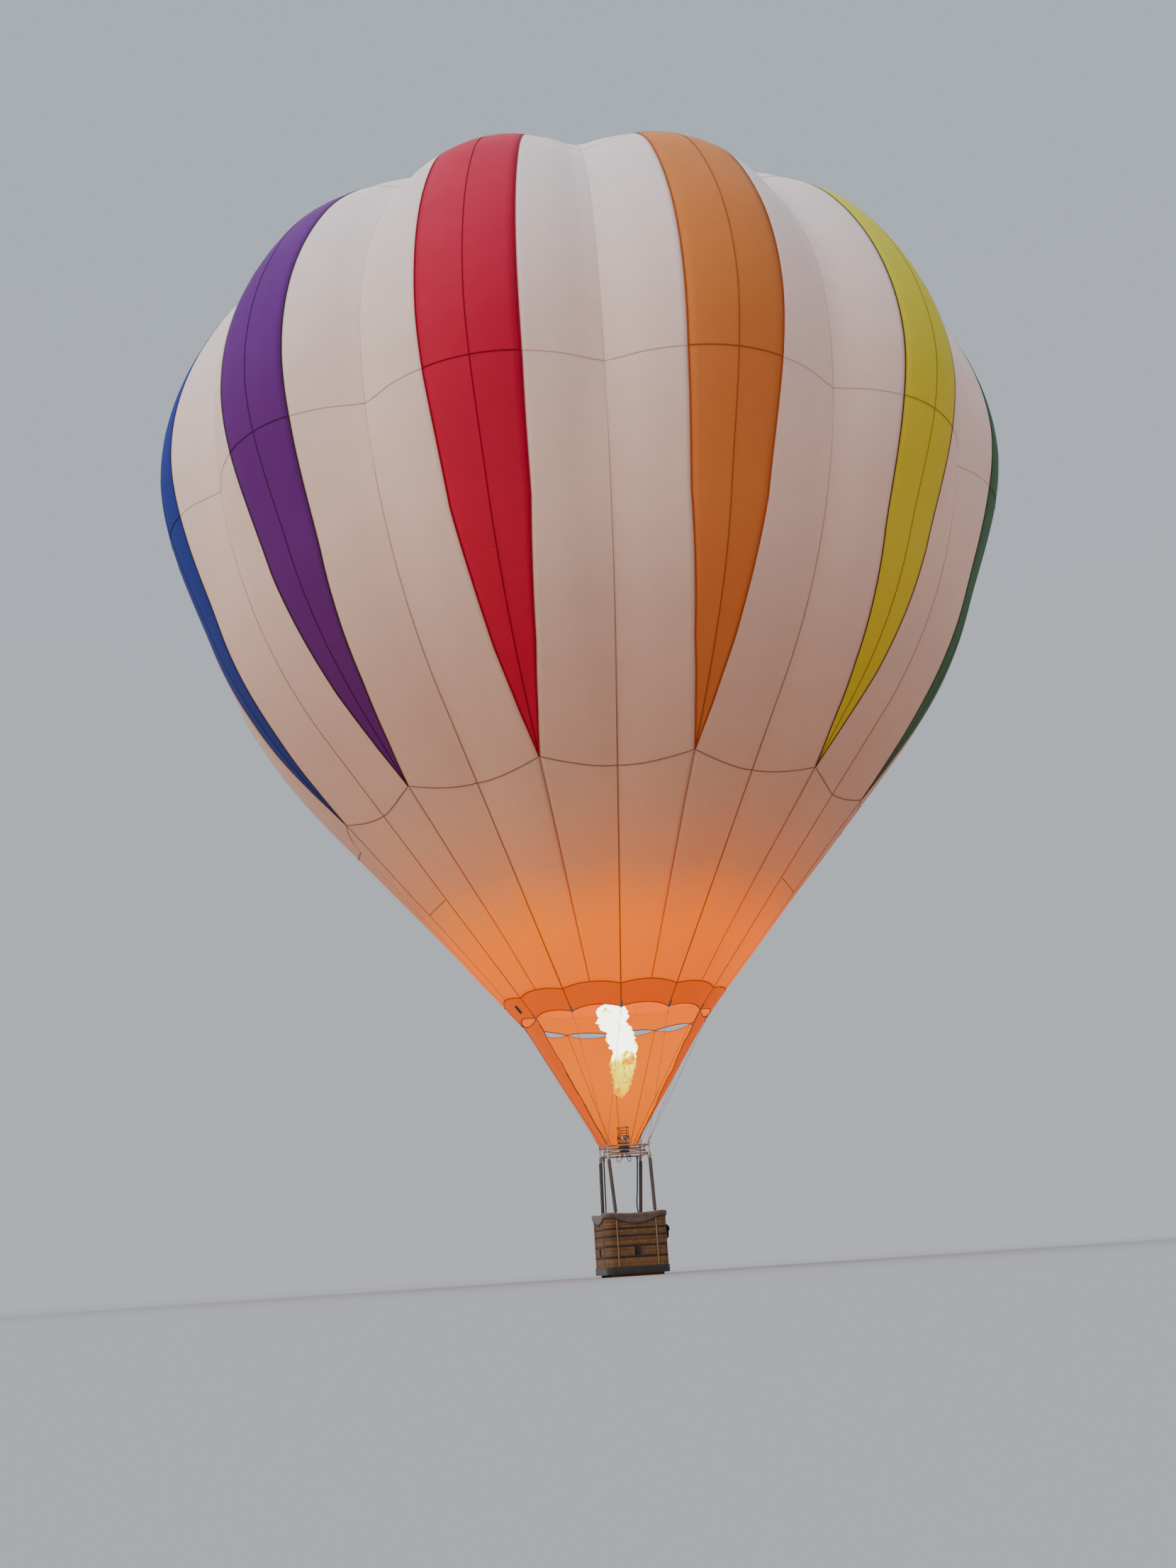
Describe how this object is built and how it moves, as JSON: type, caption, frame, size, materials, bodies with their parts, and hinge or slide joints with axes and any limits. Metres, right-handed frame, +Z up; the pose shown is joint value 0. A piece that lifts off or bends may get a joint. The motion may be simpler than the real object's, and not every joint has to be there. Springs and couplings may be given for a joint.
{
  "type": "hot air balloon",
  "caption": "Hot air balloon with a bulged striped envelope, mouth scoop, gimballed burner on a tube frame, and a wicker basket on padded uprights.",
  "frame": {"origin": "on the vertical axis at the centre of lift of the envelope, 14 m above the underside of the basket", "axes": "+Z up, viewer of the picture on the -Y side, +X to the right"},
  "size_m": [16.6626, 16.6626, 21.629],
  "materials": {
    "white_cloth": "matt coated nylon, white",
    "orange_cloth": "matt coated nylon, burnt orange",
    "yellow_cloth": "matt coated nylon, yellow",
    "green_cloth": "matt coated nylon, green",
    "blue_cloth": "matt coated nylon, blue",
    "purple_cloth": "matt coated nylon, purple",
    "red_cloth": "matt coated nylon, red",
    "band_cloth": "matt flame-proof cloth, orange",
    "webbing": "woven load tape",
    "frame_steel": "brushed stainless tube",
    "wire": "stranded wire",
    "padded_cover": "dark padded cover",
    "tank_metal": "bare cylinder",
    "wicker": "woven cane",
    "hide": "suede-covered padding",
    "dark_hide": "scuffed dark hide",
    "floor_ply": "varnished ply",
    "runner_wood": "worn hardwood",
    "hose_rubber": "matt hose",
    "pouch_cloth": "dark canvas",
    "valve_brass": "tarnished valve block",
    "burner_steel": "heat-stained stainless",
    "coil_steel": "heat-stained tube"
  },
  "bodies": {
    "root": {"panel_white_00": "white_cloth", "panel_white_01": "white_cloth", "panel_white_02": "white_cloth", "panel_white_03": "white_cloth", "panel_white_04": "white_cloth", "panel_white_05": "white_cloth", "panel_white_06": "white_cloth", "panel_white_07": "white_cloth", "panel_white_08": "white_cloth", "panel_white_09": "white_cloth", "panel_white_10": "white_cloth", "panel_white_11": "white_cloth", "panel_orange_a": "orange_cloth", "panel_yellow_a": "yellow_cloth", "panel_green_a": "green_cloth", "panel_blue_a": "blue_cloth", "panel_purple_a": "purple_cloth", "panel_red_a": "red_cloth", "panel_orange_b": "orange_cloth", "panel_yellow_b": "yellow_cloth", "panel_green_b": "green_cloth", "panel_blue_b": "blue_cloth", "panel_purple_b": "purple_cloth", "panel_red_b": "red_cloth", "mouth_band": "band_cloth", "scoop": "band_cloth", "crown_straps": "webbing", "burner_frame": "frame_steel", "flying_wires_0": "wire", "flying_wires_1": "wire", "flying_wires_2": "wire", "flying_wires_3": "wire", "basket_walls": "wicker", "basket_rim": "hide", "scuff_band": "dark_hide", "basket_floor": "floor_ply", "runners": "runner_wood", "upright_0": "padded_cover", "upright_1": "padded_cover", "upright_2": "padded_cover", "upright_3": "padded_cover", "fuel_tank_0": "tank_metal", "fuel_tank_1": "tank_metal", "fuel_tank_2": "tank_metal", "fuel_tank_3": "tank_metal", "fuel_hose_left": "hose_rubber", "fuel_hose_right": "hose_rubber", "side_pouch": "pouch_cloth"},
    "valve": {"parachute_valve": "white_cloth"},
    "gimbal": {"gimbal_ring": "frame_steel"},
    "burner": {"valve_block": "valve_brass", "burner_skirt": "burner_steel", "burner_cage": "burner_steel", "burner_coil": "coil_steel", "burner_hose_left": "hose_rubber", "burner_hose_right": "hose_rubber"}
  },
  "joints": [
    {"name": "valve_slide", "type": "slide", "parent": "root", "child": "valve", "axis": [0, 0, 1], "range_m": [-1, 0], "stiffness_N_per_m": 250, "springref_m": 0.4},
    {"name": "gimbal_pitch", "type": "hinge", "parent": "root", "child": "gimbal", "pos_m": [0, 0, -11.81], "axis": [1, 0, 0], "range_deg": [-12, 12]},
    {"name": "burner_roll", "type": "hinge", "parent": "gimbal", "child": "burner", "pos_m": [0, 0, -11.81], "axis": [0, 1, 0], "range_deg": [-12, 12]}
  ]
}
